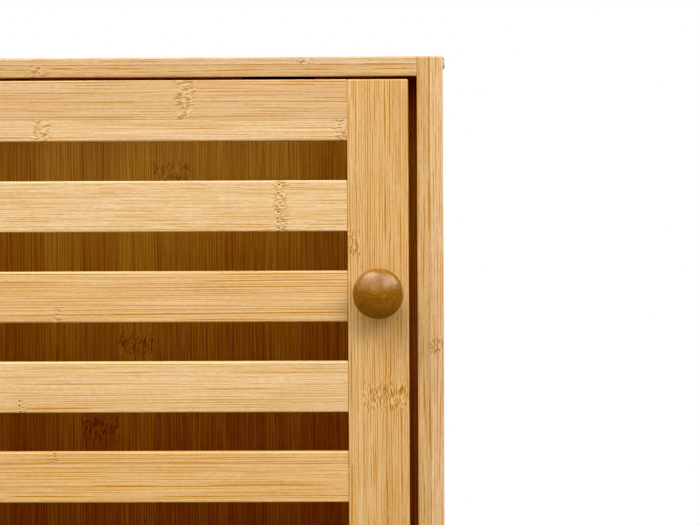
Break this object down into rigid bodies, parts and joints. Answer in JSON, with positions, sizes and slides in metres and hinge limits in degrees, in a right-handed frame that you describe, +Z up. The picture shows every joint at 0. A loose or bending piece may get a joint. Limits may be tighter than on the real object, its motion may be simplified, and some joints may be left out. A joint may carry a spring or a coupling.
{
  "type": "bamboo cabinet",
  "caption": "Free-standing bamboo bathroom cabinet with an inset slatted door, turned wooden knob, adjustable shelf, butt hinges and magnetic catch.",
  "frame": {"origin": "on the floor, at the middle of the space the cabinet takes, knob included", "axes": "+X to the right as one faces the door, +Y to the rear, +Z up"},
  "size_m": [0.4038, 0.324, 0.7],
  "materials": {
    "bamboo_carcass": "satin lacquered bamboo",
    "bamboo_door": "satin lacquered bamboo",
    "stained_wood": "stained and lacquered",
    "dowel_wood": "raw",
    "plated_steel": "zinc plated",
    "screw_steel": "zinc plated",
    "magnet": "sintered",
    "catch_plastic": "moulded",
    "glide_plastic": "moulded"
  },
  "bodies": {
    "carcass": {"side_left": "bamboo_carcass", "side_right": "bamboo_carcass", "top_panel": "bamboo_carcass", "bottom_panel": "bamboo_carcass", "back_panel": "bamboo_carcass", "shelf": "bamboo_carcass", "shelf_pins": "plated_steel", "plinth_rail": "bamboo_carcass", "rear_rail": "bamboo_carcass", "dowels": "dowel_wood", "side_screws_left": "screw_steel", "side_screws_right": "screw_steel", "foot_glides": "glide_plastic", "catch_housing": "catch_plastic", "catch_magnet": "magnet", "catch_pole_plates": "plated_steel", "catch_screws": "screw_steel", "hinge_upper_frame_leaf": "plated_steel", "hinge_upper_pin": "plated_steel", "hinge_lower_frame_leaf": "plated_steel", "hinge_lower_pin": "plated_steel", "hinge_screws_frame": "screw_steel"},
    "door": {"door_stile_left": "bamboo_door", "door_stile_right": "bamboo_door", "door_rail_top": "bamboo_door", "door_rail_bottom": "bamboo_door", "slat_1": "bamboo_door", "slat_2": "bamboo_door", "slat_3": "bamboo_door", "slat_4": "bamboo_door", "slat_5": "bamboo_door", "slat_6": "bamboo_door", "slat_7": "bamboo_door", "slat_8": "bamboo_door", "knob": "stained_wood", "knob_screw": "screw_steel", "strike_plate": "plated_steel", "strike_screws": "screw_steel", "hinge_upper_door_leaf": "plated_steel", "hinge_lower_door_leaf": "plated_steel", "hinge_screws_door": "screw_steel"}
  },
  "joints": [
    {"name": "door_hinge", "type": "hinge", "parent": "carcass", "child": "door", "pos_m": [-0.1809, -0.1408, 0.38], "axis": [0, 0, -1], "range_deg": [0, 180]}
  ]
}
